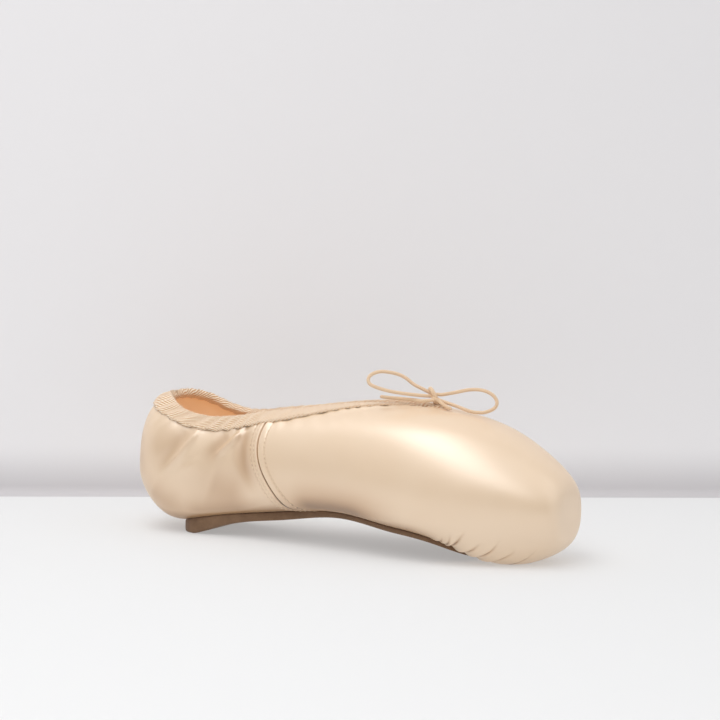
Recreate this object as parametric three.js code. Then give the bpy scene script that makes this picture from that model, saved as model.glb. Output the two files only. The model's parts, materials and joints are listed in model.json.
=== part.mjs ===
// A pointe shoe on a straight last, standing on its sole.
// Millimetres, +Z up, +X to the toe, +Y to the shoe's left. While the shoe is worked out, x runs from
// the heel's back to the platform; the finished group is moved so that its middle stands on the origin.
import * as THREE from 'three';

// ---- driving dimensions -------------------------------------------------------------------------
const LENGTH = 234;
const GAP = 0.3;                // clearance between pieces that meet
const HEEL_REACH = 30;          // length of the rounded heel end
const HEEL_FULLNESS = 2.2;      // 2 is an ellipse, more is blunter
const TOE_REACH = 32;           // length of the blunt toe end
const TOE_FULLNESS = 7;
const FLOOR = 0;

const QUARTER_WALL = 1.6;       // satin, cotton and lining
const BOX_WALL = 3.0;           // the same with the hardened toe box
const BOX_BEGINS = 140;
const BOX_WHOLE = 185;

const BINDING_CLOTH = 0.7;
const INSOLE_THICKNESS = 1.5;
const INSOLE_REST = 0.45;       // clearance under the insole, where the wall curves up beside it
const CORD_DIAMETER = 1.7;

const RIB_COUNT = 72;           // ribs round the shoe
const RING_COUNT = 18;          // rings from the collar to the lasted margin
const TRACE_COUNT = 48;         // points traced down each rib before it is divided evenly
const GUIDE_DEPTH = 6;          // how far below the last a rib's guide passes
const CAST_REACH = 150;         // longest distance a guide point is drawn from
const CAST_HALVINGS = 26;
const NORMAL_STEP = 0.05;
const END_MARGIN = 0.045;       // share of a plate's stations left out where its ends narrow to a point

// ---- tables -------------------------------------------------------------------------------------
// Sections of the last: half width, heights of the bottom, the widest level and the top, and how full
// the section is above and below the widest level (2 is an ellipse, more is squarer).
const SECTIONS = columns(
  ['x', 'half', 'bottom', 'widest', 'top', 'above', 'below'],
  [
    [0, 34, 14, 33, 82.5, 2.4, 2.2],
    [14, 34, 6.2, 31, 73.5, 2.5, 2.4],
    [35, 31, 5.6, 29.5, 67, 2.5, 3.6],
    [65, 26.2, 10.8, 29.5, 64.2, 2.4, 4],
    [95, 29, 15.6, 31, 66.7, 2.3, 4],
    [125, 33, 17.2, 31, 70.8, 2.2, 4],
    [152, 37.8, 13.8, 29, 71.6, 2.2, 4],
    [178, 38.3, 8.8, 26, 68.8, 2.25, 3.6],
    [204, 31.8, -1.1, 24, 60.9, 2.3, 2.7],
    [LENGTH, 19.1, 7.9, 24, 41, 2.4, 2.4],
  ],
);

// Ribs from the throat's front round the shoe's left side to the heel's back. Each runs from the collar
// down the side to the lasted margin under the foot. The sixth rib is the side seam.
const RIBS = columns(
  ['collarX', 'collarY', 'collarZ', 'sideX', 'sideY', 'underX', 'footX', 'footY', 'bindingHeight'],
  [
    [164, 0, 69.5, 262, 0, 262, 184, 0, 4],
    [158, 2.8, 69.7, 258, 32, 256, 181, 10, 3.5],
    [148, 4.8, 69.3, 236, 52, 232, 171, 17.5, 3.2],
    [132.5, 6, 68.3, 194, 54, 188, 154, 21, 5],
    [113, 6.8, 66.6, 142, 48, 142, 130, 17, 6.5],
    [79, 9.1, 61.5, 69, 42, 80, 118, 12, 10],
    [60.5, 13.8, 57.6, 46, 42, 52, 74, 11, 10.7],
    [45, 17.5, 56.1, 20, 42, 28, 56, 13, 11],
    [28.7, 17, 57.6, -6, 36, 4, 44, 13, 10.4],
    [17.7, 7.5, 61.8, -20, 18, -8, 37, 7.5, 9.8],
    [13.7, 0, 63.8, -24, 0, -12, 35, 0, 9.6],
  ],
);

// Outsole: half width, thickness at the middle, and how far its underside follows the foot's curve
// across (0 is flat, 1 follows it).
const OUTSOLE = columns(
  ['x', 'half', 'thickness', 'follow'],
  [
    [26, 18, 2.9, 0],
    [31, 20.8, 4.9, 0],
    [36, 22, 5.75, 0],
    [52, 22, 4, 0.2],
    [85, 17.5, 4, 0.7],
    [115, 21, 2.8, 1],
    [150, 29, 2.4, 1],
    [172, 30, 2.2, 1],
    [192, 22, 2, 1],
  ],
);
const OUTSOLE_ROUNDING = { rear: 14, rearFullness: 2.6, front: 22, frontFullness: 2.2 };

const INSOLE = columns(
  ['x', 'half'],
  [
    [22, 14],
    [38, 17],
    [65, 14],
    [95, 16],
    [125, 19.5],
    [155, 23],
    [180, 22],
    [204, 15],
  ],
);
const INSOLE_ROUNDING = { rear: 14, rearFullness: 2.4, front: 20, frontFullness: 2.2 };

// The bow. Its loops open along one line across the throat, so routes are given from the knot's
// middle as distances along that line (towards the toe), out to the shoe's right, and up.
const KNOT = { x: 161, y: -1.6, z: 77, turn: 28, along: 2.9, out: 2.4, up: 3 };
const BOW_ROUTES = {
  bow_loop_left: [
    [-4, -1.2, 2], [-9.4, -1.5, 4.6], [-13.9, -2, 7.9], [-18.5, -2.2, 9.8], [-25.4, -2, 10.7],
    [-30, -1, 9.5], [-31.9, 0.3, 7.4], [-31.4, 1.2, 5.2], [-29.1, 1.8, 3.8], [-23.1, 2.2, 2],
    [-16.2, 2, 0.8], [-9.2, 1.4, 0], [-4, 1.2, -0.4],
  ],
  bow_loop_right: [
    [4, 0.2, 0.2], [10.1, 2.5, 1.6], [17.1, 4.5, 3.3], [23.3, 6.5, 3.4], [28.1, 8.5, 1.5],
    [30.3, 9.5, -1.8], [29.1, 10, -4.8], [24.8, 9.5, -6.9], [20.9, 8.5, -7.2], [17.1, 7.5, -6.7],
    [9.8, 4.5, -4.4], [4, 1.5, -2.8],
  ],
  drawstring_end_left: [
    [-3, 3.2, -2.4], [-6.1, 2.4, -2.8], [-9.2, 0.8, -2.6], [-16, -2.5, -2.4], [-21, -4.5, -2.3],
    [-25.2, -6, -2.1],
  ],
  drawstring_end_right: [
    [2.4, 3.4, -2.6], [4.2, 5, -3.8], [6.2, 6.3, -5], [7.9, 7, -5.6],
  ],
};

const COLOURS = {
  satin: 0xe9cfb5, leather: 0x7d614b, twill: 0xecd2b6, lining: 0xd9b48a, cord: 0xd9c0a4,
};

// ---- small helpers ------------------------------------------------------------------------------
function columns(names, rows) {
  const table = {};
  names.forEach((name, at) => {
    table[name] = rows.map((row) => row[at]);
  });
  return table;
}

const clamp = THREE.MathUtils.clamp;
const lerp = THREE.MathUtils.lerp;

// Natural cubic spline through the points: its second derivative is solved by one sweep each way.
function spline(xs, ys) {
  const last = xs.length - 1;
  const ratio = new Array(last + 1).fill(0);
  const bend = new Array(last + 1).fill(0);
  for (let i = 1; i < last; i += 1) {
    const before = xs[i] - xs[i - 1];
    const after = xs[i + 1] - xs[i];
    const turn = 6 * ((ys[i + 1] - ys[i]) / after - (ys[i] - ys[i - 1]) / before);
    const pivot = 2 * (before + after) - before * ratio[i - 1];
    ratio[i] = after / pivot;
    bend[i] = (turn - before * bend[i - 1]) / pivot;
  }
  for (let i = last - 1; i > 0; i -= 1) {
    bend[i] -= ratio[i] * bend[i + 1];
  }
  return (value) => {
    const x = clamp(value, xs[0], xs[last]);
    let i = 0;
    while (i < last - 1 && x > xs[i + 1]) {
      i += 1;
    }
    const span = xs[i + 1] - xs[i];
    const a = (xs[i + 1] - x) / span;
    const b = (x - xs[i]) / span;
    const curve = (a ** 3 - a) * bend[i] + (b ** 3 - b) * bend[i + 1];
    return a * ys[i] + b * ys[i + 1] + (curve * span * span) / 6;
  };
}

function splines(table) {
  const made = {};
  Object.keys(table).filter((name) => name !== 'x').forEach((name) => {
    made[name] = spline(table.x, table[name]);
  });
  return made;
}

// Closed curve through evenly numbered values: each stretch leaves along its neighbours' chord.
function around(values, t) {
  const n = values.length;
  const i = Math.floor(t * n);
  const f = t * n - i;
  const [a, b, c, d] = [-1, 0, 1, 2].map((step) => values[(i + step + n) % n]);
  const cubic = 3 * b - a - 3 * c + d;
  const square = 2 * a - 5 * b + 4 * c - d;
  return b + 0.5 * f * (c - a + f * (square + f * cubic));
}

// ---- the last -----------------------------------------------------------------------------------
const last = splines(SECTIONS);

function combine(a, b, fullness) {
  return (a ** fullness + b ** fullness) ** (1 / fullness);
}

// 1 on the last's surface, less inside it, more outside.
function gauge(x, y, z) {
  const at = clamp(x, 0, LENGTH);
  const widest = last.widest(at);
  const high = z > widest;
  const reach = high ? last.top(at) - widest : widest - last.bottom(at);
  const fullness = high ? last.above(at) : last.below(at);
  const section = combine(Math.abs(y) / last.half(at), Math.abs(z - widest) / reach, fullness);
  const toe = Math.max(0, (x - LENGTH + TOE_REACH) / TOE_REACH);
  const heel = Math.max(0, (HEEL_REACH - x) / HEEL_REACH);
  return combine(combine(section, toe, TOE_FULLNESS), heel, HEEL_FULLNESS);
}

function normal(p) {
  const step = NORMAL_STEP;
  return new THREE.Vector3(
    gauge(p.x + step, p.y, p.z) - gauge(p.x - step, p.y, p.z),
    gauge(p.x, p.y + step, p.z) - gauge(p.x, p.y - step, p.z),
    gauge(p.x, p.y, p.z + step) - gauge(p.x, p.y, p.z - step),
  ).normalize();
}

// The point of the last's surface that a guide point is drawn to, out from the foot's middle line.
function cast(guide) {
  const x = clamp(guide.x, HEEL_REACH, LENGTH - TOE_REACH);
  const spine = new THREE.Vector3(x, 0, last.widest(x));
  const out = guide.clone().sub(spine).normalize();
  let inside = 0;
  let outside = CAST_REACH;
  for (let i = 0; i < CAST_HALVINGS; i += 1) {
    const middle = (inside + outside) / 2;
    const p = spine.clone().addScaledVector(out, middle);
    if (gauge(p.x, p.y, p.z) < 1) {
      inside = middle;
    } else {
      outside = middle;
    }
  }
  return spine.addScaledVector(out, outside);
}

// Height of the foot's underside at (x, y): the gauge's own formula, solved for z.
function underside(x, y) {
  const widest = last.widest(x);
  const fullness = last.below(x);
  const toe = Math.max(0, (x - LENGTH + TOE_REACH) / TOE_REACH);
  const heel = Math.max(0, (HEEL_REACH - x) / HEEL_REACH);
  const left = (1 - heel ** HEEL_FULLNESS) ** (TOE_FULLNESS / HEEL_FULLNESS) - toe ** TOE_FULLNESS;
  const section = left ** (1 / TOE_FULLNESS);
  const across = Math.abs(y) / last.half(x);
  const down = Math.max(0, section ** fullness - across ** fullness) ** (1 / fullness);
  return widest - (widest - last.bottom(x)) * down;
}

function wall(x) {
  return lerp(QUARTER_WALL, BOX_WALL, THREE.MathUtils.smoothstep(x, BOX_BEGINS, BOX_WHOLE));
}

// ---- ribs ---------------------------------------------------------------------------------------
const MIRRORED = new Set(['collarY', 'sideY', 'footY']);

function bothSides(name) {
  const left = RIBS[name];
  const sign = MIRRORED.has(name) ? -1 : 1;
  return [...left, ...left.slice(1, -1).reverse().map((value) => sign * value)];
}

const ribTable = {};
Object.keys(RIBS).forEach((name) => {
  ribTable[name] = bothSides(name);
});

// One rib: points on the last from the collar to the lasted margin, evenly apart, read by distance.
function rib(t) {
  const of = (name) => around(ribTable[name], t);
  const guide = new THREE.CubicBezierCurve3(
    new THREE.Vector3(of('collarX'), of('collarY'), of('collarZ')),
    new THREE.Vector3(of('sideX'), of('sideY'), of('collarZ')),
    new THREE.Vector3(of('underX'), of('sideY'), last.bottom(of('underX')) - GUIDE_DEPTH),
    new THREE.Vector3(of('footX'), of('footY'), last.bottom(of('footX')) - GUIDE_DEPTH),
  );
  const traced = guide.getPoints(TRACE_COUNT).map(cast);
  const run = [0];
  traced.slice(1).forEach((p, i) => {
    run.push(run[i] + p.distanceTo(traced[i]));
  });
  const length = run[TRACE_COUNT];
  const at = (distance) => {
    let i = 0;
    while (i < TRACE_COUNT - 1 && run[i + 1] < distance) {
      i += 1;
    }
    return traced[i].clone().lerp(traced[i + 1], (distance - run[i]) / (run[i + 1] - run[i]));
  };
  return { at, length, bindingHeight: of('bindingHeight') };
}

const ribs = Array.from({ length: RIB_COUNT }, (_, i) => rib(i / RIB_COUNT));

function outward(p, distance) {
  return p.clone().addScaledVector(normal(p), distance);
}

function inner(p, extra) {
  return outward(p, -wall(p.x) - extra);
}

function onFloor(p) {
  return p.setZ(Math.max(p.z, FLOOR));
}

// ---- making solids ------------------------------------------------------------------------------
function geometryOf(points, triangles) {
  const geometry = new THREE.BufferGeometry();
  geometry.setFromPoints(points);
  geometry.setIndex(triangles);
  geometry.computeVertexNormals();
  return geometry;
}

// Joins closed sections of equal length in a ring, or in a row whose ends are closed by a strip
// between the section's two halves.
function joinSections(sections, ring) {
  const size = sections[0].length;
  const count = sections.length;
  const triangles = [];
  const quad = (a, b, c, d) => triangles.push(a, b, c, a, c, d);
  for (let i = 0; i < (ring ? count : count - 1); i += 1) {
    const here = i * size;
    const next = ((i + 1) % count) * size;
    for (let j = 0; j < size; j += 1) {
      const k = (j + 1) % size;
      quad(here + j, here + k, next + k, next + j);
    }
  }
  for (let j = 0; !ring && j < size / 2 - 1; j += 1) {
    const far = (count - 1) * size;
    quad(j, size - 1 - j, size - 2 - j, j + 1);
    quad(far + j, far + j + 1, far + size - 2 - j, far + size - 1 - j);
  }
  return geometryOf(sections.flat(), triangles);
}

// ---- the pieces ---------------------------------------------------------------------------------
// The first rings lie at half and at the whole of the binding's height, so that both pieces' facets
// are parallel; the others are evenly apart.
function upperSection(one) {
  const height = one.bindingHeight;
  const steps = [0, height / 2];
  for (let j = 0; j <= RING_COUNT - 3; j += 1) {
    steps.push(lerp(height, one.length, j / (RING_COUNT - 3)));
  }
  const outside = steps.map((distance) => onFloor(one.at(distance)));
  const inside = steps.map((distance) => inner(one.at(distance), 0));
  return [...outside, ...inside.reverse()];
}

// Folded over the collar's edge: an outer leg, a top fold, and an inner leg half as high.
function bindingSection(one) {
  const edge = one.at(0);
  const lift = edge.clone().sub(one.at(1)).normalize();
  const height = one.bindingHeight;
  const leg = (parts, distance, place) => {
    const points = parts.map((part) => place(one.at(part * height), distance));
    points[0].addScaledVector(lift, distance);
    return points;
  };
  const far = GAP + BINDING_CLOTH;
  return [
    ...leg([0, 0.5, 1], GAP, outward).reverse(),
    ...leg([0, 0.5], GAP, inner),
    ...leg([0, 0.5], far, inner).reverse(),
    ...leg([0, 0.5, 1], far, outward),
  ];
}

function roundEnd(distance, reach, fullness) {
  const into = clamp(1 - distance / reach, 0, 1);
  return (1 - into ** fullness) ** (1 / fullness);
}

// A flat piece that lies along the foot: stations along x, each with a top row and a bottom row.
function plate(table, rounding, stationCount, acrossCount, topOf, bottomOf) {
  const rear = table.x[0];
  const front = table.x[table.x.length - 1];
  const half = spline(table.x, table.half);
  const sections = [];
  for (let i = 0; i < stationCount; i += 1) {
    const even = lerp(END_MARGIN, 1 - END_MARGIN, i / (stationCount - 1));
    const x = lerp(rear, front, (1 - Math.cos(Math.PI * even)) / 2);
    const width = half(x)
      * roundEnd(x - rear, rounding.rear, rounding.rearFullness)
      * roundEnd(front - x, rounding.front, rounding.frontFullness);
    const across = Array.from({ length: acrossCount }, (_, j) => lerp(width, -width, j / (acrossCount - 1)));
    const row = (height) => across.map((y) => new THREE.Vector3(x, y, height(x, y)));
    sections.push([...row(topOf), ...row(bottomOf).reverse()]);
  }
  return joinSections(sections, false);
}

const outsole = splines(OUTSOLE);

function outsoleTop(x, y) {
  return underside(x, y) - GAP;
}

function outsoleBottom(x, y) {
  const curve = (underside(x, y) - underside(x, 0)) * outsole.follow(x);
  return Math.max(FLOOR, underside(x, 0) + curve - GAP - outsole.thickness(x));
}

// Stands clear of the wall's inner face, measured straight up.
function insoleBottom(x, y) {
  const p = new THREE.Vector3(x, y, underside(x, y));
  return p.z + (wall(x) + INSOLE_REST) / -normal(p).z;
}

function insoleTop(x, y) {
  return insoleBottom(x, y) + INSOLE_THICKNESS;
}

function knotGeometry() {
  const geometry = new THREE.SphereGeometry(1, 14, 10);
  geometry.scale(KNOT.along, KNOT.out, KNOT.up);
  return geometry;
}

function cordGeometry(route) {
  const points = route.map(([along, out, up]) => new THREE.Vector3(along, -out, up));
  const path = new THREE.CatmullRomCurve3(points);
  const section = new THREE.Shape();
  section.absarc(0, 0, CORD_DIAMETER / 2, 0, 2 * Math.PI);
  const steps = Math.round(path.getLength() / (2 * CORD_DIAMETER));
  return new THREE.ExtrudeGeometry(section, {
    steps, curveSegments: 4, extrudePath: path, bevelEnabled: false,
  });
}

function mesh(name, geometry, color, roughness) {
  const made = new THREE.Mesh(geometry, new THREE.MeshStandardMaterial({ color, roughness, metalness: 0 }));
  made.name = name;
  return made;
}

// ---- the shoe -----------------------------------------------------------------------------------
const group = new THREE.Group();
group.position.x = -LENGTH / 2;

group.add(mesh('upper', joinSections(ribs.map(upperSection), true), COLOURS.satin, 0.4));
group.add(mesh('collar_binding', joinSections(ribs.map(bindingSection), true), COLOURS.twill, 0.8));
group.add(mesh(
  'outsole',
  plate(OUTSOLE, OUTSOLE_ROUNDING, 30, 9, outsoleTop, outsoleBottom),
  COLOURS.leather,
  0.7,
));
group.add(mesh(
  'insole',
  plate(INSOLE, INSOLE_ROUNDING, 26, 7, insoleTop, insoleBottom),
  COLOURS.lining,
  0.8,
));

const bow = new THREE.Group();
bow.position.set(KNOT.x, KNOT.y, KNOT.z);
bow.rotation.z = THREE.MathUtils.degToRad(KNOT.turn);
bow.add(mesh('drawstring_knot', knotGeometry(), COLOURS.cord, 0.8));
Object.entries(BOW_ROUTES).forEach(([name, route]) => {
  bow.add(mesh(name, cordGeometry(route), COLOURS.cord, 0.8));
});
group.add(bow);

export default group;
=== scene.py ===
"""A satin pointe shoe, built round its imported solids: satin with its pleats and creases, side
seams, twill collar binding, lining, outsole, insole and the drawstring's bow.

Tables are in millimetres. In them x runs from the heel's back to the platform, y to the shoe's left
and z up from the floor. Objects are in metres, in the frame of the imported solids."""

import json
import math

import bpy
import numpy as np
from bpy.props import FloatProperty, FloatVectorProperty, IntProperty, PointerProperty
from mathutils import Matrix, Vector
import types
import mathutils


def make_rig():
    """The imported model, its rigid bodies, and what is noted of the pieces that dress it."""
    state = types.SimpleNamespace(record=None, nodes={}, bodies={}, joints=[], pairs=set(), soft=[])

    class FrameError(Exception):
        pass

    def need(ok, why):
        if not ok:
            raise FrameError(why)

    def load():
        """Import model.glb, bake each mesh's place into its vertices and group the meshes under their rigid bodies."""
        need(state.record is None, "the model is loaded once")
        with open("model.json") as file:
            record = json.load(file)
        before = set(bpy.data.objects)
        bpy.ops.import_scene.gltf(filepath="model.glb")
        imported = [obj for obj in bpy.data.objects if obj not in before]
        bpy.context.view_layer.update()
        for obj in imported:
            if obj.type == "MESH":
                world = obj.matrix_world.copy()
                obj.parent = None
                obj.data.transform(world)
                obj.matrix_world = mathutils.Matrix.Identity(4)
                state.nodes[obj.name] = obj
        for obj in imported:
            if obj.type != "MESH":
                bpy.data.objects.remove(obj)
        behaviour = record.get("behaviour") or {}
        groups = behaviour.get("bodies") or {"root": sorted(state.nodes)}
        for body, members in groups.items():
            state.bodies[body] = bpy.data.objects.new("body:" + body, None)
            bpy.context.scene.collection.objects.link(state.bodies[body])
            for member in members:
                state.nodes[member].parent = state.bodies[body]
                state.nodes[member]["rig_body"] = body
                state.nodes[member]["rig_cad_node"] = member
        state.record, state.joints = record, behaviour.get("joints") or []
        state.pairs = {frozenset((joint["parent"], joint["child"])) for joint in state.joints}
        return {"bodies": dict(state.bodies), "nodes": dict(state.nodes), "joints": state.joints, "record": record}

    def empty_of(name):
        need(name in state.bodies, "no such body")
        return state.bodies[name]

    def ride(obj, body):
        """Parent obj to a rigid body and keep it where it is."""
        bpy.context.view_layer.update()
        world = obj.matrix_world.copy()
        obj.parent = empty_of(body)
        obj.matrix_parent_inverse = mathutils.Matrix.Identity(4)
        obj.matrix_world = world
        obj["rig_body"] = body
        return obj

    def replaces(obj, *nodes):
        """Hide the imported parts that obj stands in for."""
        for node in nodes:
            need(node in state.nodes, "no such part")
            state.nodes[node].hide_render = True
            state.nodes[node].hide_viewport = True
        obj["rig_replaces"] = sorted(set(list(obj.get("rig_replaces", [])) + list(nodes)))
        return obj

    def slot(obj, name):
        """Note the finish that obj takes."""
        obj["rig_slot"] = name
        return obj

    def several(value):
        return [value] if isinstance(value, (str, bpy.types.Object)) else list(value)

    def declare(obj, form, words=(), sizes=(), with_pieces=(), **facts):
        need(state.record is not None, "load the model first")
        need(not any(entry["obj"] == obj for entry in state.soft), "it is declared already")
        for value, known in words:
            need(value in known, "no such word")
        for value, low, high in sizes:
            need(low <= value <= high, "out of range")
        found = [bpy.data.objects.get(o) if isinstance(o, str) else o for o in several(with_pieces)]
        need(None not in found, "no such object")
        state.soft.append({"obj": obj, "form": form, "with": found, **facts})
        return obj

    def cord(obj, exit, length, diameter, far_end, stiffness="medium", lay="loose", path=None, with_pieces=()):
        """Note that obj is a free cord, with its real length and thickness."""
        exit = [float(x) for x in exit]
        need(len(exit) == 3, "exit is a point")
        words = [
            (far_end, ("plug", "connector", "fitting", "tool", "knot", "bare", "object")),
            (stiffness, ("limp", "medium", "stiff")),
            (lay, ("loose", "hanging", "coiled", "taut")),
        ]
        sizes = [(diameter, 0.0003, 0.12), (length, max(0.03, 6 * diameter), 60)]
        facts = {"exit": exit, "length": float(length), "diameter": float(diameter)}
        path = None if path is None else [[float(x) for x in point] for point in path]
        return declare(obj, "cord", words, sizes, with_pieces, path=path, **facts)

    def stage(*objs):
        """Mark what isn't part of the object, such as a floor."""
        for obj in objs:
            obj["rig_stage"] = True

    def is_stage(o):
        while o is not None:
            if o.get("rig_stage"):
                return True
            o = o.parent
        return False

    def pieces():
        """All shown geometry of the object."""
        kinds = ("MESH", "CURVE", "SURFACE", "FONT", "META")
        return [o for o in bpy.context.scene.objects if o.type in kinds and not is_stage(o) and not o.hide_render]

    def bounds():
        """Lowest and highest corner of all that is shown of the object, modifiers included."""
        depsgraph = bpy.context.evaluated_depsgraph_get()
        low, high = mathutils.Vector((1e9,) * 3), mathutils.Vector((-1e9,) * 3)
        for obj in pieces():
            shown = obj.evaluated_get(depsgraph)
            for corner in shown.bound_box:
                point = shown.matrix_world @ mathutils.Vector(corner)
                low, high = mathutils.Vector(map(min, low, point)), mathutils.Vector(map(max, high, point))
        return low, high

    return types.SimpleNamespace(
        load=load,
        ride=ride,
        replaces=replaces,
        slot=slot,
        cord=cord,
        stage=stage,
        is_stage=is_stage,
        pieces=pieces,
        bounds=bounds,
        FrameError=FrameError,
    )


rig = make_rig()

bl_info = {
    "name": "Pointe shoe",
    "version": (1, 0, 0),
    "blender": (4, 5, 0),
    "location": "View3D > Sidebar > Pointe shoe",
    "description": "Builds a satin pointe shoe piece by piece round its solid frame",
    "category": "Object",
}

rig.load()
CAD_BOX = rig.bounds()

MM = 0.001
BODY = "root"

# ---- the last, as in the solids ----
LENGTH = 234.0
HEEL_REACH = 30.0
HEEL_FULLNESS = 2.2
TOE_REACH = 32.0
TOE_FULLNESS = 7.0

# Half width, heights of the bottom, the widest level and the top, and how full each section is
# above and below the widest level.
SECTIONS = np.array([
    # x, half, bottom, widest, top, above, below
    [0, 34, 14, 33, 82.5, 2.4, 2.2],
    [14, 34, 6.2, 31, 73.5, 2.5, 2.4],
    [35, 31, 5.6, 29.5, 67, 2.5, 3.6],
    [65, 26.2, 10.8, 29.5, 64.2, 2.4, 4],
    [95, 29, 15.6, 31, 66.7, 2.3, 4],
    [125, 33, 17.2, 31, 70.8, 2.2, 4],
    [152, 37.8, 13.8, 29, 71.6, 2.2, 4],
    [178, 38.3, 8.8, 26, 68.8, 2.25, 3.6],
    [204, 31.8, -1.1, 24, 60.9, 2.3, 2.7],
    [LENGTH, 19.1, 7.9, 24, 41, 2.4, 2.4],
])

# Ribs from the throat's front round the shoe's left side to the heel's back; the sixth is the seam.
RIBS = np.array([
    # collar x, y, z, side x, y, under x, foot x, y, binding height
    [164, 0, 69.5, 262, 0, 262, 184, 0, 4],
    [158, 2.8, 69.7, 258, 32, 256, 181, 10, 3.5],
    [148, 4.8, 69.3, 236, 52, 232, 171, 17.5, 3.2],
    [132.5, 6, 68.3, 194, 54, 188, 154, 21, 5],
    [113, 6.8, 66.6, 142, 48, 142, 130, 17, 6.5],
    [79, 9.1, 61.5, 69, 42, 80, 118, 12, 10],
    [60.5, 13.8, 57.6, 46, 42, 52, 74, 11, 10.7],
    [45, 17.5, 56.1, 20, 42, 28, 56, 13, 11],
    [28.7, 17, 57.6, -6, 36, 4, 44, 13, 10.4],
    [17.7, 7.5, 61.8, -20, 18, -8, 37, 7.5, 9.8],
    [13.7, 0, 63.8, -24, 0, -12, 35, 0, 9.6],
])
SIDEWAYS = [1, 4, 7]                # the columns that change sign on the shoe's right side
SEAM = 0.25                         # the left seam's place round the shoe; the right is 1 - SEAM

OUTSOLE = np.array([
    # x, half width, thickness at the middle, how far the underside follows the foot's curve
    [26, 18, 2.9, 0],
    [31, 20.8, 4.9, 0],
    [36, 22, 5.75, 0],
    [52, 22, 4, 0.2],
    [85, 17.5, 4, 0.7],
    [115, 21, 2.8, 1],
    [150, 29, 2.4, 1],
    [172, 30, 2.2, 1],
    [192, 22, 2, 1],
])
INSOLE = np.array([
    # x, half width
    [22, 14], [38, 17], [65, 14], [95, 16], [125, 19.5], [155, 23], [180, 22], [204, 15],
])
OUTSOLE_ENDS = (14, 2.6, 22, 2.2)   # rear rounding, its fullness, front rounding, its fullness
INSOLE_ENDS = (14, 2.4, 20, 2.2)

QUARTER_WALL = 1.6
BOX_WALL = 3.0
BOX_BEGINS = 140.0
BOX_WHOLE = 185.0
GAP = 0.3                           # between the upper and what is fixed to it
BINDING_CLOTH = 0.7
INSOLE_REST = 0.45                  # between the wall and the sock
INSOLE_THICKNESS = 1.5

# How ribs are drawn on to the last.
GUIDE_DEPTH = 6                     # how far below the foot a rib's guide points lie
CAST_REACH = 150.0                  # farther from the foot's middle than any point of the last
CAST_HALVINGS = 24
NORMAL_STEP = 0.05
LINE_STEP = 3                       # between the points of a fold's or pleat's line

# The bow: routes from the knot's middle, along the bow, out to the shoe's right, and up.
KNOT = np.array([161.0, -1.6, 77.0])
BOW_TURN = math.radians(28)
LEFT_ROUTE = [
    [3.5, 0.5, -6.5], [2, 0.4, -4.4], [0.5, 0, -1.6], [-1.5, -0.6, 0.7], [-4, -1.2, 2],
    [-9.4, -1.5, 4.6], [-13.9, -2, 7.9], [-18.5, -2.2, 9.8], [-25.4, -2, 10.7],
    [-30, -1, 9.5], [-31.9, 0.3, 7.4], [-31.4, 1.2, 5.2], [-29.1, 1.8, 3.8],
    [-23.1, 2.2, 2], [-16.2, 2, 0.8], [-9.2, 1.4, 0], [-4, 1.2, -0.4], [0.2, 1, -0.6],
    [1.5, 1.8, -1.6], [0, 2.9, -2.2], [-3, 3.2, -2.4], [-6.1, 2.4, -2.8], [-9.2, 0.8, -2.6],
    [-16, -2.5, -2.4], [-21, -4.5, -2.3], [-25.2, -6, -2.1],
]
RIGHT_ROUTE = [
    [1.6, -1.6, -6.5], [0.8, -1.4, -4.2], [0.4, -1, -1.4], [1.6, -0.4, 0.2], [4, 0.2, 0.2],
    [10.1, 2.5, 1.6], [17.1, 4.5, 3.3], [23.3, 6.5, 3.4], [28.1, 8.5, 1.5], [30.3, 9.5, -1.8],
    [29.1, 10, -4.8], [24.8, 9.5, -6.9], [20.9, 8.5, -7.2], [17.1, 7.5, -6.7],
    [9.8, 4.5, -4.4], [4, 1.5, -2.8], [1, 0.8, -1.6], [-0.4, 1.8, -1.2], [0.6, 3, -1.6],
    [2.4, 3.4, -2.6], [4.2, 5, -3.8], [6.2, 6.3, -5], [7.9, 7, -5.6],
]


# ---- splines and the last's surface ----
def spline(xs, ys):
    """Natural cubic spline through (xs, ys): the second derivatives solve one linear system, and
    each stretch is then a cubic in its own fraction."""
    span = np.diff(xs)
    size = len(xs)
    system = np.eye(size)
    turn = np.zeros(size)
    inner = np.arange(1, size - 1)
    system[inner, inner - 1] = span[:-1]
    system[inner, inner] = 2 * (span[:-1] + span[1:])
    system[inner, inner + 1] = span[1:]
    turn[1:-1] = 6 * np.diff(np.diff(ys) / span)
    bend = np.linalg.solve(system, turn)

    def value(x):
        x = np.clip(x, xs[0], xs[-1])
        i = np.clip(np.searchsorted(xs, x) - 1, 0, size - 2)
        a = (xs[i + 1] - x) / span[i]
        b = 1 - a
        curve = (a ** 3 - a) * bend[i] + (b ** 3 - b) * bend[i + 1]
        return a * ys[i] + b * ys[i + 1] + curve * span[i] ** 2 / 6

    return value


HALF, BOTTOM, WIDEST, TOP, ABOVE, BELOW = [
    spline(SECTIONS[:, 0], SECTIONS[:, column]) for column in range(1, 7)
]


def combine(a, b, fullness):
    """The root of the sum of two numbers' powers: a superellipse's own rule."""
    return (a ** fullness + b ** fullness) ** (1 / fullness)


def gauge(p):
    """1 on the last's surface, less inside. Each section is a superellipse about its widest level,
    and the two ends are closed by the same rule lengthways."""
    x, y, z = p[..., 0], p[..., 1], p[..., 2]
    at = np.clip(x, 0, LENGTH)
    widest = WIDEST(at)
    high = z > widest
    reach = np.where(high, TOP(at) - widest, widest - BOTTOM(at))
    fullness = np.where(high, ABOVE(at), BELOW(at))
    section = combine(np.abs(y) / HALF(at), np.abs(z - widest) / reach, fullness)
    toe = np.maximum(0, (x - LENGTH + TOE_REACH) / TOE_REACH)
    heel = np.maximum(0, (HEEL_REACH - x) / HEEL_REACH)
    return combine(combine(section, toe, TOE_FULLNESS), heel, HEEL_FULLNESS)


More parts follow.
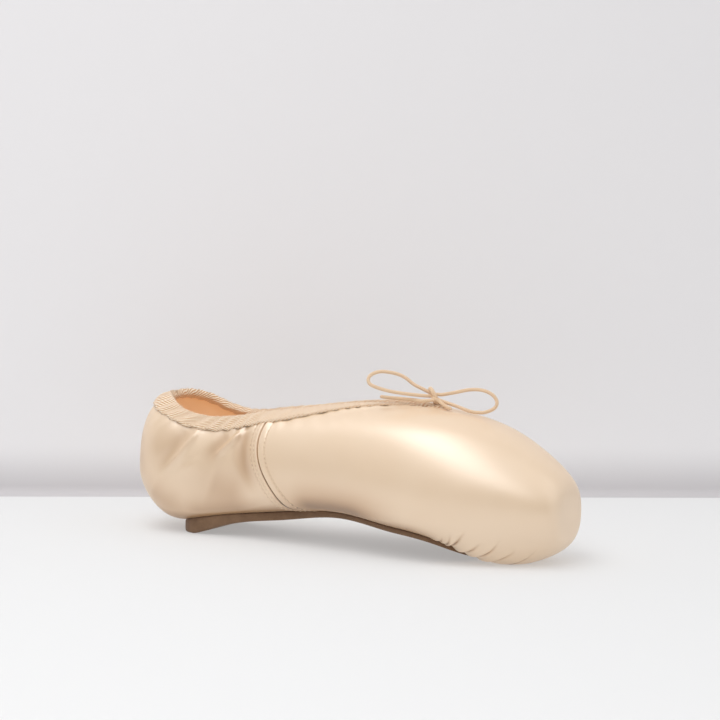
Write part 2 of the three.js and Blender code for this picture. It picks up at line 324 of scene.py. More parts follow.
def unit(v):
    return v / np.maximum(np.linalg.norm(v, axis=-1, keepdims=True), 1e-12)


def normal(p):
    """The gauge's slope along each axis, made a unit vector."""
    axes = np.eye(3) * NORMAL_STEP
    return unit(np.stack([gauge(p + axis) - gauge(p - axis) for axis in axes], -1))


def cast(guide):
    """Draws points on to the last along the line from the foot's middle, by halving."""
    guide = np.asarray(guide, float)
    x = np.clip(guide[..., 0], HEEL_REACH, LENGTH - TOE_REACH)
    middle = np.stack([x, 0 * x, WIDEST(x)], -1)
    out = unit(guide - middle)
    inside = np.zeros(x.shape)
    outside = np.full(x.shape, CAST_REACH)
    for _ in range(CAST_HALVINGS):
        half = (inside + outside) / 2
        within = gauge(middle + out * half[..., None]) < 1
        inside = np.where(within, half, inside)
        outside = np.where(within, outside, half)
    return middle + out * outside[..., None]


def underside(x, y):
    """Height of the foot's underside: the gauge's rule, solved for z."""
    toe = np.maximum(0, (x - LENGTH + TOE_REACH) / TOE_REACH)
    heel = np.maximum(0, (HEEL_REACH - x) / HEEL_REACH)
    left = (1 - heel ** HEEL_FULLNESS) ** (TOE_FULLNESS / HEEL_FULLNESS) - toe ** TOE_FULLNESS
    section = left ** (1 / TOE_FULLNESS)
    fullness = BELOW(x)
    across = np.abs(y) / HALF(x)
    down = np.maximum(0, section ** fullness - across ** fullness) ** (1 / fullness)
    return WIDEST(x) - (WIDEST(x) - BOTTOM(x)) * down


def smooth(x, low, high):
    """0 below low, 1 above high, and an S-shaped cubic between."""
    f = np.clip((x - low) / (high - low), 0, 1)
    return f * f * (3 - 2 * f)


def wall(x):
    return QUARTER_WALL + (BOX_WALL - QUARTER_WALL) * smooth(x, BOX_BEGINS, BOX_WHOLE)


def run_along(line):
    """Distance along a line of points, from its first."""
    steps = np.linalg.norm(np.diff(line, axis=0), axis=-1)
    return np.concatenate([[0], np.cumsum(steps)])


# ---- ribs ----
def rib_values(t):
    """The table's columns at places t round the shoe: each stretch of the closed curve leaves its
    points along their neighbours' chord."""
    other = RIBS[1:-1][::-1].copy()
    other[:, SIDEWAYS] *= -1
    rows = np.concatenate([RIBS, other])
    count = len(rows)
    place = (t % 1) * count
    i = np.floor(place).astype(int)
    f = (place - i)[:, None]
    a, b, c, d = [rows[(i + step) % count] for step in (-1, 0, 1, 2)]
    cubic = 3 * b - a - 3 * c + d
    square = 2 * a - 5 * b + 4 * c - d
    return b + 0.5 * f * (c - a + f * (square + f * cubic))


class Ribs:
    """Ribs at places t, traced on the last from the collar to the lasted margin: a cubic Bezier's
    points, cast on to the surface."""

    def __init__(self, t, count=150):
        self.t = np.asarray(t, float)
        v = rib_values(self.t)
        self.binding = v[:, 8]
        guides = np.stack([
            v[:, 0:3],
            np.stack([v[:, 3], v[:, 4], v[:, 2]], -1),
            np.stack([v[:, 5], v[:, 4], BOTTOM(v[:, 5]) - GUIDE_DEPTH], -1),
            np.stack([v[:, 6], v[:, 7], BOTTOM(v[:, 6]) - GUIDE_DEPTH], -1),
        ])
        u = np.linspace(0, 1, count)
        weights = np.stack([(1 - u) ** 3, 3 * u * (1 - u) ** 2, 3 * u * u * (1 - u), u ** 3])
        self.traced = cast(np.einsum("gk,gtc->tkc", weights, guides))
        steps = np.linalg.norm(np.diff(self.traced, axis=1), axis=-1)
        self.run = np.concatenate([np.zeros((len(self.t), 1)), np.cumsum(steps, 1)], 1)
        self.length = self.run[:, -1]

    def at(self, distance):
        """Points at distances from the collar, one row of distances a rib."""
        distance = np.broadcast_to(distance, (len(self.t), np.shape(distance)[-1]))
        i = (self.run[:, None, :] < distance[..., None]).sum(-1) - 1
        i = np.clip(i, 0, self.run.shape[1] - 2)
        row = np.arange(len(self.t))[:, None]
        f = (distance - self.run[row, i]) / (self.run[row, i + 1] - self.run[row, i])
        a, b = self.traced[row, i], self.traced[row, i + 1]
        return cast(a + (b - a) * np.clip(f, 0, 1)[..., None])


# ---- meshes ----
def grid_faces(rows, columns, ring_rows=False, ring_columns=False):
    """Quads of a grid of points, closed on itself along rows or columns where asked."""
    i = np.arange(rows if ring_rows else rows - 1)[:, None]
    j = np.arange(columns if ring_columns else columns - 1)[None]
    k, m = (i + 1) % rows, (j + 1) % columns
    quads = np.stack([i * columns + j, k * columns + j, k * columns + m, i * columns + m], -1)
    return quads.reshape(-1, 4)


def to_frame(points):
    return (points - [LENGTH / 2, 0, 0]) * MM


def make_object(name, points, faces, uv=None, shade=None):
    """A mesh object from points in shoe millimetres. uv holds one pair a point, in millimetres, and
    shade one number a point of painted shade, from 0 in the open to 1 deep in a crease, which the
    material mixes into the colour."""
    mesh = bpy.data.meshes.new(name)
    mesh.from_pydata(to_frame(np.reshape(points, (-1, 3))), [], list(faces))
    if uv is not None:
        layer = mesh.uv_layers.new(name="cloth")
        corner = np.zeros(len(mesh.loops), int)
        mesh.loops.foreach_get("vertex_index", corner)
        layer.data.foreach_set("uv", np.reshape(uv, (-1, 2))[corner].ravel() * MM)
    if shade is not None:
        layer = mesh.attributes.new(name="painted_shade", type="FLOAT", domain="POINT")
        layer.data.foreach_set("value", np.ravel(shade))
    mesh.polygons.foreach_set("use_smooth", [True] * len(mesh.polygons))
    mesh.update()
    made = bpy.data.objects.new(name, mesh)
    bpy.context.scene.collection.objects.link(made)
    return made


def finish_piece(piece, material, slot, *replaced):
    piece.data.materials.append(material_of(material))
    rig.ride(piece, BODY)
    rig.slot(piece, slot)
    if replaced:
        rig.replaces(piece, *replaced)
    return piece


def arc_uv(points):
    """Distances along the columns and along the rows of a grid, in millimetres."""
    down = np.linalg.norm(np.diff(points, axis=1), axis=-1)
    v = np.concatenate([np.zeros((len(points), 1)), np.cumsum(down, 1)], 1)
    middle = points[:, points.shape[1] // 2]
    u = run_along(middle)
    return np.stack([np.broadcast_to(u[:, None], v.shape), v], -1)


def resample(points, spacing):
    """A smooth line through given points (Catmull-Rom), divided evenly at about this spacing."""
    p = np.asarray(points, float)
    p = np.concatenate([[2 * p[0] - p[1]], p, [2 * p[-1] - p[-2]]])
    f = np.linspace(0, 1, 24, endpoint=False)[None, :, None]
    a, b, c, d = p[:-3, None], p[1:-2, None], p[2:-1, None], p[3:, None]
    curve = b + 0.5 * f * (c - a + f * (2 * a - 5 * b + 4 * c - d + f * (3 * b - a - 3 * c + d)))
    curve = np.concatenate([curve.reshape(-1, 3), [p[-2]]])
    run = run_along(curve)
    even = np.linspace(0, run[-1], max(2, round(run[-1] / spacing) + 1))
    return np.stack([np.interp(even, run, curve[:, k]) for k in range(3)], -1), run[-1]


REFERENCE = np.array([0.31, 0.42, 0.85])    # a direction that no cord follows
TIP = np.array([0.05, 0.6, 0.9])            # the radii of a rounded end's three rings


def tube(line, radius, sides):
    """A tube of rings along a line. Each ring stands square to the line, turned by a reference that
    is levelled against it, and both ends are drawn in to a rounded tip."""
    tangent = unit(np.gradient(line, axis=0))
    side = unit(np.cross(tangent, REFERENCE))
    up = np.cross(tangent, side)
    angle = np.linspace(0, 2 * np.pi, sides, endpoint=False)
    scale = np.concatenate([TIP, np.ones(len(line)), TIP[::-1]])
    back = radius * np.sqrt(1 - TIP ** 2)
    first = line[0] - tangent[0] * back[:, None]
    last = line[-1] + tangent[-1] * back[::-1][:, None]
    line = np.concatenate([first, line, last])
    side = np.concatenate([side[[0] * 3], side, side[[-1] * 3]])
    up = np.concatenate([up[[0] * 3], up, up[[-1] * 3]])
    ring = np.cos(angle)[None, :, None] * side[:, None] + np.sin(angle)[None, :, None] * up[:, None]
    points = line[:, None] + ring * radius * scale[:, None, None]
    uv = np.stack(np.broadcast_arrays(run_along(line)[:, None], (radius * angle)[None]), -1)
    return points, uv


def tube_faces(rows, sides):
    """Quads of rings set one after another, with one many-sided face at each end."""
    quads = grid_faces(rows, sides, ring_columns=True).tolist()
    first = list(range(sides))
    far = list(range((rows - 1) * sides, rows * sides))[::-1]
    return quads + [first, far]


# ---- creases ----
def nearest(points, path):
    """Distance to a line of points, how far along it (0 to 1), and the side (its sign), measured
    square to each of its stretches."""
    shape = points.shape[:-1]
    flat = points.reshape(-1, 3)
    best = np.full(len(flat), 1e9)
    along = np.zeros(len(flat))
    side = np.zeros(len(flat))
    out = normal(path)
    for i, (a, b) in enumerate(zip(path[:-1], path[1:])):
        ab = b - a
        f = np.clip((flat - a) @ ab / (ab @ ab), 0, 1)
        gap = flat - a - f[:, None] * ab
        distance = np.linalg.norm(gap, axis=-1)
        closer = distance < best
        best = np.where(closer, distance, best)
        along = np.where(closer, (i + f) / (len(path) - 1), along)
        side = np.where(closer, np.sign(gap @ np.cross(out[i], ab)), side)
    return best.reshape(shape), along.reshape(shape), side.reshape(shape)


def mirrored(table):
    """Each row's line on the last, for the shoe's right side and then its left: the side's sign,
    the line's points, and what the row says after its nine coordinates."""
    for mirror in (1, -1):
        for row in table:
            corners = np.array(row[:9], float).reshape(3, 3) * [1, mirror, 1]
            path, _ = resample(corners, LINE_STEP)
            yield mirror, cast(path), row[9:]


# Soft ridges and troughs of the satin: three points each on the shoe's right side, how wide, how
# high (a trough is below zero), how sharp (0 soft on both sides, 1 falls away on the far side at
# once), and the painted shade: how far the satin's colour is darkened towards brown in and beside
# the fold. Rows with no height are broad patches of painted shade alone.
FOLDS = [
    # start x, y, z, middle x, y, z, end x, y, z, width, height, sharp, painted shade
    [64.7, -21.3, 53, 58.2, -24.7, 46.3, 51, -27.3, 39.3, 1.8, 1.3, 0.5, 0],
    [58.5, -22.8, 51.5, 53.5, -25.5, 45.5, 46.5, -28.4, 36, 2.8, -0.6, 0, 0.5],
    [42.3, -25.3, 52.3, 33, -30.8, 39.5, 25, -32.5, 30.3, 1.8, 0.9, 0.5, 0],
    [37.5, -26.5, 51.8, 29.5, -31.2, 41, 21, -32.5, 29.5, 3, -0.7, 0, 0.35],
    [67, -21.5, 55, 68.4, -25.4, 40, 78, -26.3, 22, 3.2, -0.9, 0, 0.6],
    [40, -29.6, 38, 46, -28.8, 29, 54, -27.2, 21.5, 7, 0.7, 0, 0],
    [50, -27.5, 27, 60, -26, 24, 74, -25.5, 22, 8, -0.2, 0, 0.55],
    [36, -28, 12, 62, -24.3, 14.5, 94, -25, 17, 4.5, 0, 0, 0.6],
    [97, -28, 20, 130, -32.5, 21, 169, -37, 16, 6.5, 0, 0, 0.9],
    [18, -31, 22, 28, -30, 15, 38, -26.5, 11, 6, 0, 0, 0.5],
    [4, -16, 52, 8.8, -25.5, 37.8, 17, -30.8, 24, 5, 0, 0, 0.3],
    [31, -26, 52, 24, -29, 44, 16, -29, 34, 5.5, 0, 0, 0.22],
]


LEFT_FOLDS = 0.7                    # how strong the left side's folds are beside the right's
PAINTED_SHADE_SPREAD = 1.4                   # how much wider a fold's painted shade is than its height


def bell(distance, width):
    """1 at no distance, falling away over this width."""
    return np.exp(-(distance / width) ** 2)


def fold_height(points):
    """Each fold is a bell across its line, faded at the line's ends. Returns height and painted shade."""
    total = np.zeros(points.shape[:-1])
    fold_painted_shade = np.zeros(points.shape[:-1])
    for mirror, path, (width, height, sharp, shade) in mirrored(FOLDS):
        distance, along, side = nearest(points, path)
        strength = 1.0 if mirror > 0 else LEFT_FOLDS
        ends = strength * smooth(along, -0.15, 0.15) * smooth(1 - along, 0, 0.5)
        narrow = np.where(side * mirror > 0, width, width * (1 - 0.75 * sharp))
        total += height * ends * bell(distance, narrow)
        fold_painted_shade = 1 - (1 - fold_painted_shade) * (1 - shade * ends * bell(distance, PAINTED_SHADE_SPREAD * width))
    return total, fold_painted_shade


# Pleats under the toe, gathered to the outsole's tip: foot end, middle and top end, then the
# groove's depth. Rows are for the right side; the left has the same.
PLEATS = [
    # foot x, y, z, middle x, y, z, top x, y, z, depth
    [176, -27, 10, 182, -31, 12, 184, -34, 16, 0.5],
    [179, -26, 9, 186, -31, 12, 188.5, -35, 17, 0.4],
    [181, -25, 8, 189.6, -31.2, 11.6, 196.1, -35, 18.5, 1.1],
    [184, -21, 6, 195.2, -28, 7.7, 203, -32, 12.5, 1.2],
    [187, -17, 4, 204.3, -27, 6.9, 212, -30, 15, 1.2],
    [189.5, -12, 3, 212.9, -22.7, 5.7, 218.5, -25, 11, 1.1],
    [191, -7, 2, 214, -14, 3, 227, -19, 10, 0.9],
    [192, -2.5, 1, 214, -5, 2, 230, -8, 9, 0.8],
]


PLEATS_BEGIN = 165                  # x, behind which no pleat reaches
PLEAT_WAVES = [
    # height for each millimetre of depth, distance from the line, width
    [-1.1, 0, 0.65],                # the groove
    [0.7, 1.7, 1.4],                # the cloth's fold beside it
    [-0.35, -2.4, 2.4],             # the dip on its other side
]


def pleat_height(points):
    """Each pleat is a narrow groove with the cloth's fold standing on one side of it and a dip on
    the other. Returns the height and the painted shade of each groove, strongest along its line."""
    total = np.zeros(points.shape[:-1])
    shade = np.zeros(points.shape[:-1])
    near = points[..., 0] > PLEATS_BEGIN
    part = points[near]
    for mirror, path, (depth,) in mirrored(PLEATS):
        distance, along, side = nearest(part, path)
        away = distance * side * mirror
        wave = sum(high * bell(away - place, width) for high, place, width in PLEAT_WAVES)
        total[near] += smooth(1 - along, 0, 0.75) * depth * wave
        # Painted shade along the groove, fading towards its top end.
        deep = 1.15 * smooth(1 - along, 0, 0.6) * bell(distance, 0.6)
        shade[near] = np.maximum(shade[near], deep)
    return total, shade


def seam_path(t):
    ribs = Ribs([t])
    return ribs.at(np.linspace(0, ribs.length[0], 60))[0]


# How the satin lies beside a side seam, by distance from it: towards the toe above zero.
SEAM_PROFILE = np.array([
    # distance, height
    [-200, 0], [-6.5, 0], [-4.7, 0.18], [-4.1, 0.02], [-3.6, 0.3], [-2.5, 0.36], [-2, 0.22],
    [-1.5, 0.36], [-0.5, 0.3], [-0.2, -0.4], [0, -0.7], [0.2, -0.4], [0.5, 0.25], [1.2, 0.4],
    [3.3, 0.36], [3.8, 0.25], [4.1, 0.02], [4.6, 0.16], [7, 0], [200, 0],
])

STITCH_PITCH = 1.9
STITCH_HOLES = [
    # distance from the seam, how much painted shade the needle's holes get
    [-3.9, 0.7], [-2, 0.6], [4.1, 0.75],
]


def seam_height(points):
    """The profile across each side seam, with painted shade in the seam's groove, stronger lower
    down, and in the holes of its stitches, which come round once in a stitch's pitch."""
    total = np.zeros(points.shape[:-1])
    shade = np.zeros(points.shape[:-1])
    for t in (SEAM, 1 - SEAM):
        path = seam_path(t)
        distance, _, _ = nearest(points, path)
        level = np.interp(points[..., 2], path[::-1, 2], path[::-1, 0])
        ahead = np.where(points[..., 0] > level, distance, -distance)
        total += np.interp(ahead, SEAM_PROFILE[:, 0], SEAM_PROFILE[:, 1])
        shade += (1.4 - 0.6 * smooth(points[..., 2], 25, 50)) * bell(distance, 0.45)
        holes = (0.5 + 0.5 * np.cos(2 * np.pi * points[..., 2] / STITCH_PITCH)) ** 2
        for row, strength in STITCH_HOLES:
            shade += strength * (0.35 + 0.65 * holes) * bell(ahead - row, 0.4)
    return total, shade


def satin_height(points):
    """All of the satin's relief on the last, in millimetres, which fades to nothing on the floor, and
    the painted shade at each point, from pleats, seams, stitch holes and folds."""
    pleats, deep = pleat_height(points)
    seams, dark = seam_height(points)
    folds, fold_painted_shade = fold_height(points)
    height = folds + pleats + seams
    return height * smooth(points[..., 2], 0.2, 2.5), np.clip(deep + dark + fold_painted_shade, 0, 1)


# ---- materials ----
def linear(colour):
    """An sRGB hex colour as linear red, green, blue and alpha."""
    value = np.array([int(colour[i:i + 2], 16) for i in (1, 3, 5)]) / 255
    low = value / 12.92
    high = ((value + 0.055) / 1.055) ** 2.4
    return (*np.where(value <= 0.04045, low, high), 1.0)


def add_node(tree, kind, inputs=None, **settings):
    """Adds a node, sets its properties, and sets its inputs: a socket is linked, and text is a
    colour."""
    made = tree.nodes.new("ShaderNode" + kind)
    for name, value in settings.items():
        setattr(made, name, value)
    for name, value in (inputs or {}).items():
        if isinstance(value, bpy.types.NodeSocket):
            tree.links.new(value, made.inputs[name])
        else:
            made.inputs[name].default_value = linear(value) if isinstance(value, str) else value
    return made


def new_material(name):
    material = bpy.data.materials.new(name)
    material.use_nodes = True
    tree = material.node_tree
    shader = tree.nodes["Principled BSDF"]
    return material, tree, shader


def put(shader, **values):
    for name, value in values.items():
        shader.inputs[name.replace("_", " ")].default_value = value


A, B, MIXED = 6, 7, 2               # a Mix node's sockets for its two colours and its result


def dress(tree, shader, factor, dark, pale, relief=None, strength=0.0, depth=0.0):
    """Gives the shader a colour from dark to pale and, where there is one, a relief this deep."""
    tint = add_node(tree, "Mix", {0: factor, A: dark, B: pale}, data_type="RGBA")
    tree.links.new(tint.outputs[MIXED], shader.inputs["Base Color"])
    if relief:
        bump = add_node(tree, "Bump", {"Height": relief, "Strength": strength, "Distance": depth})
        tree.links.new(bump.outputs["Normal"], shader.inputs["Normal"])


def satin_material():
    """Polyester satin: long floats that lie along the shoe give a glossy face, with the highlight
    drawn out across them. The floats are about 0.2 mm apart and are drawn at 0.5 mm to show."""
    material, tree, shader = new_material("peach_satin_weave")
    place = add_node(tree, "TexCoord").outputs["Object"]
    along = add_node(tree, "Mapping", {"Vector": place, "Scale": (0.1, 1, 1)})
    floats = add_node(tree, "TexNoise", {
        "Vector": along.outputs["Vector"], "Scale": 1 / (0.5 * MM), "Detail": 3.0,
    })
    cloud = add_node(tree, "TexNoise", {"Vector": place, "Scale": 1 / (28 * MM), "Detail": 2.0})
    tint = add_node(tree, "Mix", {
        0: cloud.outputs["Fac"], A: "#ebcdaa", B: "#f0d5b5",
    }, data_type="RGBA").outputs[MIXED]
    # The point attribute read below holds painted shade: the satin is mixed towards brown by it, and where it is
    # strongest towards dark brown, for the shade in creases, seams, stitch holes, folds and under the toe.
    painted_shade = add_node(tree, "Attribute", attribute_name="painted_shade").outputs["Fac"]
    tint = add_node(tree, "Mix", {
        0: painted_shade, A: tint, B: "#b98a55",
    }, data_type="RGBA").outputs[MIXED]
    deep = add_node(tree, "Math", {0: painted_shade, 1: 6.0}, operation="POWER")
    dress(tree, shader, deep.outputs[0], tint, "#6b4526", floats.outputs["Fac"], 0.12, 0.1 * MM)
    tangent = add_node(tree, "Tangent", direction_type="UV_MAP", uv_map="cloth")
    tree.links.new(tangent.outputs["Tangent"], shader.inputs["Tangent"])
    put(shader, Roughness=0.34, Metallic=0.05, Anisotropic=0.4, Specular_IOR_Level=1.0, IOR=1.85)
    put(shader, Sheen_Weight=0.15, Sheen_Roughness=0.4, Sheen_Tint=linear("#fff1e2"))
    return material


def twill_material():
    """Cotton twill tape: matt, with diagonal ribs about 1.2 mm apart that throw fine shadows."""
    material, tree, shader = new_material("cotton_twill_tape")
    uv = add_node(tree, "UVMap", uv_map="cloth").outputs["UV"]
    turned = add_node(tree, "Mapping", {"Vector": uv, "Rotation": (0, 0, math.radians(48))})
    ribs = add_node(tree, "TexWave", {
        "Vector": turned.outputs["Vector"], "Scale": 0.314 / (1.2 * MM), "Distortion": 0.5,
        "Detail": 1.0, "Detail Scale": 2.0,
    }, wave_profile="SIN")
    yarn = add_node(tree, "TexNoise", {"Vector": uv, "Scale": 1 / (0.35 * MM), "Detail": 2.0})
    height = add_node(tree, "Math", {0: yarn.outputs["Fac"], 1: 0.4, 2: ribs.outputs["Fac"]},
                      operation="MULTIPLY_ADD")
    dress(tree, shader, ribs.outputs["Fac"], "#c9935e", "#fff3dd", height.outputs[0], 0.6, 0.2 * MM)
    put(shader, Roughness=0.85, Sheen_Weight=0.3, Sheen_Roughness=0.6, Specular_IOR_Level=0.25)
    return material


def woven_material(name, dark, pale, spacing, roughness, glow=0.0):
    """Plain-woven cotton: matt, with a small grain of yarns at the given spacing. The glow is painted
    light: an emission that brightens the cloth where it lies in shade."""
    material, tree, shader = new_material(name)
    place = add_node(tree, "TexCoord").outputs["Object"]
    grain = add_node(tree, "TexVoronoi", {"Vector": place, "Scale": 1 / spacing})
    cloud = add_node(tree, "TexNoise", {"Vector": place, "Scale": 1 / (14 * MM), "Detail": 3.0})
    dress(tree, shader, cloud.outputs["Fac"], dark, pale, grain.outputs["Distance"], 0.3, 0.2 * MM)
    put(shader, Roughness=roughness, Sheen_Weight=0.2, Specular_IOR_Level=0.2)
    put(shader, Emission_Color=linear("#dcae80"), Emission_Strength=glow)
    return material


def leather_material():
    """Buffed split leather: matt, mottled, with a short nap and a fine grain of about 0.6 mm."""
    material, tree, shader = new_material("buffed_split_leather")
    place = add_node(tree, "TexCoord").outputs["Object"]
    cloud = add_node(tree, "TexNoise", {
        "Vector": place, "Scale": 1 / (6 * MM), "Detail": 6.0, "Roughness": 0.65,
    })
    grain = add_node(tree, "TexNoise", {"Vector": place, "Scale": 1 / (0.6 * MM), "Detail": 4.0})
    nap = grain.outputs["Fac"]
    dress(tree, shader, cloud.outputs["Fac"], "#664c3a", "#94765a", nap, 0.5, 0.25 * MM)
    put(shader, Roughness=0.8, Sheen_Weight=0.15, Specular_IOR_Level=0.25)
    return material


def cord_material():
    """Braided cotton cord: matt, with crossing yarns about 0.8 mm apart along it."""
    material, tree, shader = new_material("braided_cotton_cord")
    uv = add_node(tree, "UVMap", uv_map="cloth").outputs["UV"]
    waves = []
    for turn in (38, -38):
        turned = add_node(tree, "Mapping", {"Vector": uv, "Rotation": (0, 0, math.radians(turn))})
        wave = add_node(tree, "TexWave", {
            "Vector": turned.outputs["Vector"], "Scale": 0.314 / (0.8 * MM), "Distortion": 0.4,
        })
        waves.append(wave.outputs["Fac"])
    braid = add_node(tree, "Math", {0: waves[0], 1: waves[1]}, operation="MAXIMUM")
    dress(tree, shader, braid.outputs[0], "#c69c76", "#efd4b4", braid.outputs[0], 0.35, 0.15 * MM)
    put(shader, Roughness=0.75, Sheen_Weight=0.25, Specular_IOR_Level=0.3)
    return material


def thread_material():
    """Spun polyester sewing thread: a soft shine on a pale twist."""
    material, tree, shader = new_material("sewing_thread")
    place = add_node(tree, "TexCoord").outputs["Object"]
    fleck = add_node(tree, "TexNoise", {"Vector": place, "Scale": 1 / (1.2 * MM)})
    dress(tree, shader, fleck.outputs["Fac"], "#e3c6a2", "#f8e8d0")
    put(shader, Roughness=0.5, Sheen_Weight=0.2)
    return material


MAKERS = {
    "satin": satin_material,
    "twill": twill_material,
    "leather": leather_material,
    "cord": cord_material,
    "thread": thread_material,
    # The lining's glow is painted light, which brightens it in the shoe's dark inside.
    "lining": lambda: woven_material(
        "tan_cotton_lining", "#f0d4b4", "#f8e4cc", 0.8 * MM, roughness=0.9, glow=0.19),
    "sock": lambda: woven_material(
        "brushed_sock_cloth", "#d6ae84", "#e6c6a0", 0.6 * MM, roughness=0.95),
}
MATERIALS = {}


def material_of(name):
    if name not in MATERIALS:
        MATERIALS[name] = MAKERS[name]()
    return MATERIALS[name]


# ---- settings ----
def length_setting(name, description, default, precision=4):
    return FloatProperty(
        name=name, description=description, default=default, unit="LENGTH", precision=precision)


def angle_setting(name, description, degrees):
    return FloatProperty(
        name=name, description=description, default=math.radians(degrees), subtype="ANGLE")


def paper_setting(name, description, colour):
    return FloatVectorProperty(
        name=name, description=description, default=linear(colour), subtype="COLOR", size=4,
        min=0, max=1)


class ShoeSettings(bpy.types.PropertyGroup):
    satin_columns: IntProperty(
        name="Satin columns", description="Points round the vamp", default=560, min=60, max=900)
    satin_rows: IntProperty(
        name="Satin rows", description="Points from collar to sole", default=168, min=20, max=300)
    hem: length_setting("Hem", "How far the satin's edges turn inwards", 1.0 * MM)
    gather_spacing: length_setting(
        "Gather spacing", "Distance between the binding's gathers", 6.5 * MM)
    gather_depth: length_setting(
        "Gather depth", "How far the binding's gathers stand out", 0.5 * MM, precision=5)
    cord_diameter: length_setting("Cord diameter", "Thickness of the drawstring", 1.7 * MM)
    stitch_length: length_setting("Stitch length", "Length of a seam's stitches", 1.9 * MM)


class StageSettings(bpy.types.PropertyGroup):
    azimuth: angle_setting("Azimuth", "Camera's turn from the shoe's right side to its toe", 27.805)
    elevation: angle_setting("Elevation", "Camera's height as an angle", 9.764)
    distance: length_setting("Distance", "Camera to the shoe's middle on the floor", 1.3378)
    lens: FloatProperty(name="Lens", description="Focal length", default=134.3, unit="CAMERA")
    roll: angle_setting("Roll", "Camera's roll", 1.086)
    pan: angle_setting("Pan", "Turn of the view to the right", 0.164)
    tilt: angle_setting("Tilt", "Turn of the view upwards", 3.88)
    wall_distance: length_setting(
        "Wall distance", "Backdrop's distance behind the shoe's middle", 0.15)
    wall_turn: angle_setting("Wall turn", "Backdrop's turn away from square to the view", 6.4)
    wall_colour: paper_setting("Wall colour", "Backdrop's paper", "#e8e6e7")
    wall_glow: FloatProperty(
        name="Wall glow", description="Light through the backdrop's paper", default=0.06)
    floor_colour: paper_setting("Floor colour", "Floor's paper", "#b8b8b8")
    floor_glow: FloatProperty(
        name="Floor glow", description="Light through the floor's paper", default=0.34)


# ---- pieces ----
class SHOE_OT_camera(bpy.types.Operator):
    """Adds the camera at the settings' angle to the shoe"""

    bl_idname = "shoe.camera"
    bl_label = "Camera"

    def execute(self, context):
        s = context.scene.stage_settings
        camera = bpy.data.objects.new("camera", bpy.data.cameras.new("camera"))
        context.scene.collection.objects.link(camera)
        camera.data.lens = s.lens
        camera.data.sensor_width = 36
        camera.data.clip_start = 0.05
        back = Vector((
            math.sin(s.azimuth) * math.cos(s.elevation),
            -math.cos(s.azimuth) * math.cos(s.elevation),
            math.sin(s.elevation),
        ))
        right = Vector((math.cos(s.azimuth), math.sin(s.azimuth), 0))
        turned = Matrix((right, back.cross(right), back)).transposed().to_4x4()
        roll = Matrix.Rotation(s.roll, 4, "Z")
        aim = Matrix.Rotation(-s.pan, 4, "Y") @ Matrix.Rotation(s.tilt, 4, "X")
        camera.matrix_world = Matrix.Translation(back * s.distance) @ turned @ roll @ aim
        context.scene.camera = camera
        return {"FINISHED"}


CORD_SIDES = 16
WRAP_GAP = 0.15                     # radians, where the wrap's two ends go in
WRAP_DEPTH, WRAP_HEIGHT = 2.35, 2.9
WRAP_SPREAD = 1.25                  # the wrap is pulled flat, so it looks wider than the cord


def from_knot(route):
    """Turns a bow's route of along, out and up into shoe millimetres."""
    route = np.asarray(route, float)
    along = np.array([math.cos(BOW_TURN), math.sin(BOW_TURN), 0])
    out = np.array([math.sin(BOW_TURN), -math.cos(BOW_TURN), 0])
    return KNOT + route[:, :1] * along + route[:, 1:2] * out + route[:, 2:] * [0, 0, 1]


def make_cord(name, route, diameter, *replaced):
    line, length = resample(from_knot(route), 0.5)
    points, uv = tube(line, diameter / MM / 2, CORD_SIDES)
    piece = make_object(name, points, tube_faces(*points.shape[:2]), uv)
    finish_piece(piece, "cord", "cord", *replaced)
    return piece, to_frame(line), length * MM


class SHOE_OT_drawstring(bpy.types.Operator):
    """Runs the drawstring out of its casing into a bow with a wrapped knot"""

    bl_idname = "shoe.drawstring"
    bl_label = "Drawstring bow"

    def execute(self, context):
        diameter = context.scene.shoe_settings.cord_diameter
        turn = np.linspace(WRAP_GAP, 2 * np.pi - WRAP_GAP, 40)
        lean = 1.5 * np.sin(turn) - 0.5 * np.cos(turn)
        wrap = np.stack([
            -lean - 0.1, WRAP_DEPTH * np.cos(turn), WRAP_HEIGHT * np.sin(turn),
        ], -1)
        points, uv = tube(from_knot(wrap), WRAP_SPREAD * diameter / MM / 2, CORD_SIDES)
        knot = make_object("drawstring_knot_wrap", points, tube_faces(*points.shape[:2]), uv)
        finish_piece(knot, "cord", "cord", "drawstring_knot")
        rows = [
            ("drawstring_left", LEFT_ROUTE, ("bow_loop_left", "drawstring_end_left")),
            ("drawstring_right", RIGHT_ROUTE, ("bow_loop_right", "drawstring_end_right")),
        ]
        for name, route, replaced in rows:
            piece, path, length = make_cord(name, route, diameter, *replaced)
            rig.cord(piece, exit=path[0], length=length, diameter=diameter, far_end="bare",
                    stiffness="medium", lay="loose", path=path, with_pieces=[knot])
        return {"FINISHED"}


CROWDING = 1.3                      # above 1, a grid's points crowd towards its edges
PUCKER, PUCKER_REACH = 0.2, 6       # the satin's gathers below the binding
CREST = (0.6, 1.9, 1.7)             # its swell below the binding: height, place and width


def crowded(f):
    """Fractions from 0 to 1, with their points crowded towards 1."""
    return 1 - (1 - f) ** CROWDING


